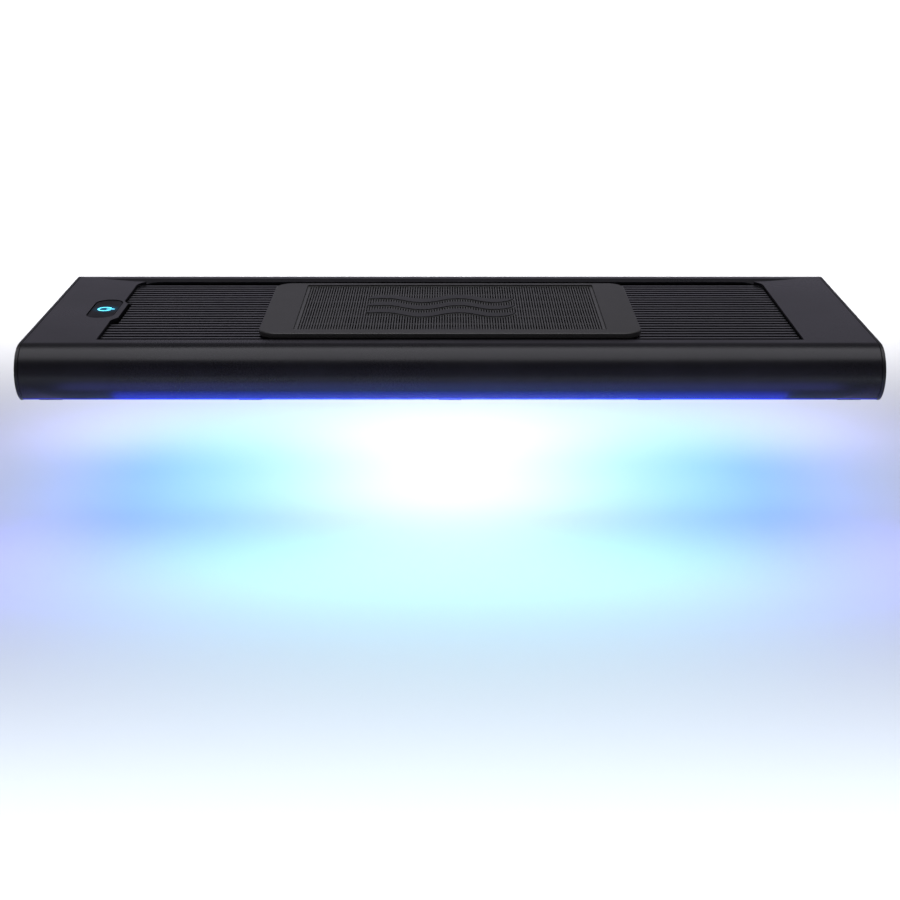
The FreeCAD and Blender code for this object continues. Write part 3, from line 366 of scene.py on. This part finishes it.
def circuit_green():
    """Solder mask with faint tracks."""
    g = Graph("green_board")
    tracks = g.add("ShaderNodeTexBrick")
    g.link(g.position(), tracks.inputs["Vector"])
    tracks.inputs["Scale"].default_value = 160.0
    tracks.inputs["Mortar Size"].default_value = 0.04
    g.set(Base_Color=g.mix(tracks.outputs["Fac"], (0.012, 0.07, 0.035), (0.03, 0.15, 0.07)))
    g.set(Roughness=0.35, Specular_IOR_Level=0.5)
    g.bump(tracks.outputs["Fac"], 0.00003, 0.4)
    return g.material


def windings():
    """Enamelled copper wire, wound round."""
    g = Graph("copper_winding")
    wave = g.add("ShaderNodeTexWave", wave_type="BANDS", bands_direction="Z")
    g.link(g.position(), wave.inputs["Vector"])
    wave.inputs["Scale"].default_value = 600.0
    g.set(Base_Color=g.mix(wave.outputs["Fac"], (0.20, 0.06, 0.02), (0.62, 0.24, 0.08)), Metallic=0.8)
    g.set(Roughness=0.35)
    g.bump(wave.outputs["Fac"], 0.0001, 0.6)
    return g.material


def led_package(name, colour):
    """Square LED package, unevenly tinted and faintly lit in its own colour."""
    g = Graph(name)
    g.set(Base_Color=g.mix(g.noise(700.0, 2.0), scaled_colour(colour, 0.8), colour), Roughness=0.25)
    g.set(Emission_Color=colour, Emission_Strength=1.5)
    return g.material


ALONG = (0.02, 1, 1)       # draws the grain out along X
MATERIALS = {
    "black_anodised": satin_metal("black_anodised", (0.0056, 0.0053, 0.0070), 0.28, 0.22),
    "black_cap": satin_metal("black_cap", (0.0048, 0.0048, 0.0053), 0.34, 0.25),
    "black_sink": satin_metal("black_sink", (0.009, 0.0088, 0.0105), 0.27, 0.8, ALONG, 0.0001),
    "black_rubber": rubber("black_rubber", (0.004, 0.004, 0.004)),
    "dark_screw": bare_metal("dark_screw", (0.05, 0.05, 0.055), 0.35),
    "brass_insert": bare_metal("brass_insert", (0.62, 0.42, 0.16), 0.28),
    "lit_diffuser": lit_diffuser(),
    "black_clip": moulded("black_clip", (0.004, 0.004, 0.0045), 0.6, 0.1),
    "white_board": moulded("white_board", (0.8, 0.81, 0.8), 0.35, texture=600.0),
    "grey_pad": rubber("grey_pad", (0.32, 0.34, 0.37)),
    "steel_screw": bare_metal("steel_screw", (0.5, 0.5, 0.52), 0.3),
    "led_white": led_package("led_white", (1.0, 0.95, 0.75)),
    "led_blue": led_package("led_blue", (0.1, 0.25, 1.0)),
    "led_violet": led_package("led_violet", (0.4, 0.15, 0.9)),
    "led_red": led_package("led_red", (0.9, 0.1, 0.08)),
    "white_plastic": moulded("white_plastic", (0.8, 0.81, 0.81), 0.4),
    "black_cover": moulded("black_cover", (0.0165, 0.0165, 0.0140), 0.42, 0.5),
    "black_grille": moulded("black_grille", (0.034, 0.034, 0.032), 0.42, 0.6),
    "black_badge": moulded("black_badge", (0.011, 0.011, 0.011), 0.42, 0.3, 2400.0, 0.00001),
    "magnet": bare_metal("magnet", (0.55, 0.55, 0.57), 0.2),
    "steel": bare_metal("steel", (0.5, 0.51, 0.53), 0.3),
    "key_gloss": key_gloss(),
    "lit_icon": glowing_key_sign(),
    "green_board": circuit_green(),
    "black_package": moulded("black_package", (0.012, 0.012, 0.012), 0.45),
    "clear_silicone": rubber("clear_silicone", (0.6, 0.62, 0.63)),
    "dark_ferrite": moulded("dark_ferrite", (0.03, 0.03, 0.032), 0.6),
    "capacitor_sleeve": moulded("capacitor_sleeve", (0.008, 0.012, 0.04), 0.25),
    "cream_plastic": moulded("cream_plastic", (0.7, 0.63, 0.48), 0.45),
    "black_lead": rubber("black_lead", (0.006, 0.006, 0.006)),
    "bright_pin": bare_metal("bright_pin", (0.7, 0.68, 0.6), 0.15),
    "fan_plastic": moulded("fan_plastic", (0.013, 0.013, 0.014), 0.42, 0.4),
    "bronze": bare_metal("bronze", (0.42, 0.25, 0.11), 0.4),
    "copper_winding": windings(),
}


def dress_nodes():
    """Every CAD node takes the material of its slot in the record."""
    for part in frame["record"]["subparts"]:
        mesh = nodes[part["node"]].data
        mesh.materials.clear()
        mesh.materials.append(MATERIALS[part["material_slot"]])


def soft_dome():
    """The silicone dome under the key, as a copy with its own mesh that takes the place of the CAD node."""
    solid = nodes["key_dome"]
    dome = bpy.data.objects.new("silicone_dome", solid.data.copy())
    bpy.context.scene.collection.objects.link(dome)
    dome.matrix_world = solid.matrix_world.copy()
    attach(dome, "root")
    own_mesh(dome)
    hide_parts("key_dome")


# ---- set, light and camera ----
def floor():
    half = FLOOR_SIZE / 2
    mesh = bpy.data.meshes.new("floor")
    corners = [(x, y, floor_z) for x, y in ((-half, -half), (half, -half), (half, half), (-half, half))]
    mesh.from_pydata(corners, [], [(0, 1, 2, 3)])
    plane = bpy.data.objects.new("floor", mesh)
    bpy.context.scene.collection.objects.link(plane)
    g = Graph("floor")
    g.set(Base_Color=(FLOOR_PALE,) * 3, Roughness=0.9, Specular_IOR_Level=0.1)
    mesh.materials.append(g.material)


def area_light(name, place, aim, size, power, colour, spread=180):
    """Soft rectangular lamp. spread limits, in degrees, how far to the side it throws light."""
    data = bpy.data.lights.new(name, "AREA")
    data.shape = "RECTANGLE"
    data.size, data.size_y = size
    data.energy = power
    data.color = colour
    data.spread = math.radians(spread)
    lamp = bpy.data.objects.new(name, data)
    lamp.location = place
    lamp.rotation_euler = (Vector(aim) - Vector(place)).to_track_quat("-Z", "Y").to_euler()
    lamp.visible_camera = False
    bpy.context.scene.collection.objects.link(lamp)


def studio():
    """A sky that is pale low down and dark higher up, a wide soft light overhead, and lamps that keep the
    floor white far behind and close in front."""
    world = bpy.data.worlds.new("studio")
    world.use_nodes = True
    tree = world.node_tree
    way = tree.nodes.new("ShaderNodeTexCoord")
    height = tree.nodes.new("ShaderNodeSeparateXYZ")
    ramp = tree.nodes.new("ShaderNodeValToRGB")
    tree.links.new(way.outputs["Generated"], height.inputs[0])
    tree.links.new(height.outputs["Z"], ramp.inputs["Fac"])
    tree.links.new(ramp.outputs["Color"], tree.nodes["Background"].inputs["Color"])
    for element, (place, colour) in zip(ramp.color_ramp.elements, SKY):
        element.position = place
        element.color = (*colour, 1.0)
    tree.nodes["Background"].inputs["Strength"].default_value = SKY_STRENGTH
    bpy.context.scene.world = world
    data = bpy.data.lights.new("overhead", "SUN")
    data.energy = OVERHEAD_POWER
    data.color = OVERHEAD_TINT
    data.angle = OVERHEAD_ANGLE
    overhead = bpy.data.objects.new("overhead", data)
    bpy.context.scene.collection.objects.link(overhead)
    for name, y, height, size, power, colour in FLOOR_LAMPS:
        area_light(name, (0, y, height), (0, y, 0), size, power, colour, FLOOR_LAMP_SPREAD)


def row_of_lamps(row, y, aim_y, fan_out, depth, gap):
    """One row of lamps below the light, aimed at the floor. A lamp away from the middle is there twice, once
    on each side. fan_out is how far out a lamp aims, as a multiple of its own place."""
    for name, x, width, colour, power in LAMPS[row]:
        sides = ((-1, "_left"), (1, "_right")) if x else ((1, ""),)
        for side, side_name in sides:
            place = (side * x, y, low.z - gap)
            target = (side * x * fan_out, aim_y, floor_z)
            area_light(f"{row}_{name}{side_name}", place, target, (width, depth), power, colour)


def thrown_light():
    """The light that the diffuser throws down, as soft lamps just below it, and what its edge throws on
    the front of the housing."""
    row_of_lamps("glow", 0.02, 0.0226, 1.0, 0.15, 0.002)
    row_of_lamps("back", high.y, high.y + 0.10, 1.1, 0.02, 0.004)
    row_of_lamps("forward", low.y, low.y - 0.15, 1.1, 0.02, 0.004)
    row_of_lamps("front", low.y, low.y + 0.06, 1.38, 0.02, 0.004)
    lip = Vector((0.0, low.y, low.z))
    for name, offset, aim, size, power, colour in LIP_LAMPS:
        area_light(name, lip + Vector(offset), lip + Vector(aim), size, power, colour)


def camera():
    data = bpy.data.cameras.new("camera")
    data.lens = LENS
    data.sensor_width = SENSOR
    data.clip_start, data.clip_end = NEAR_AND_FAR
    view = bpy.data.objects.new("camera", data)
    view.location = CAMERA_PLACE
    view.rotation_euler = (math.pi / 2 - CAMERA_PITCH, 0, 0)
    bpy.context.scene.collection.objects.link(view)
    bpy.context.scene.camera = view


dress_nodes()
soft_dome()
floor()
studio()
thrown_light()
camera()
bpy.context.scene.view_settings.view_transform = "Standard"
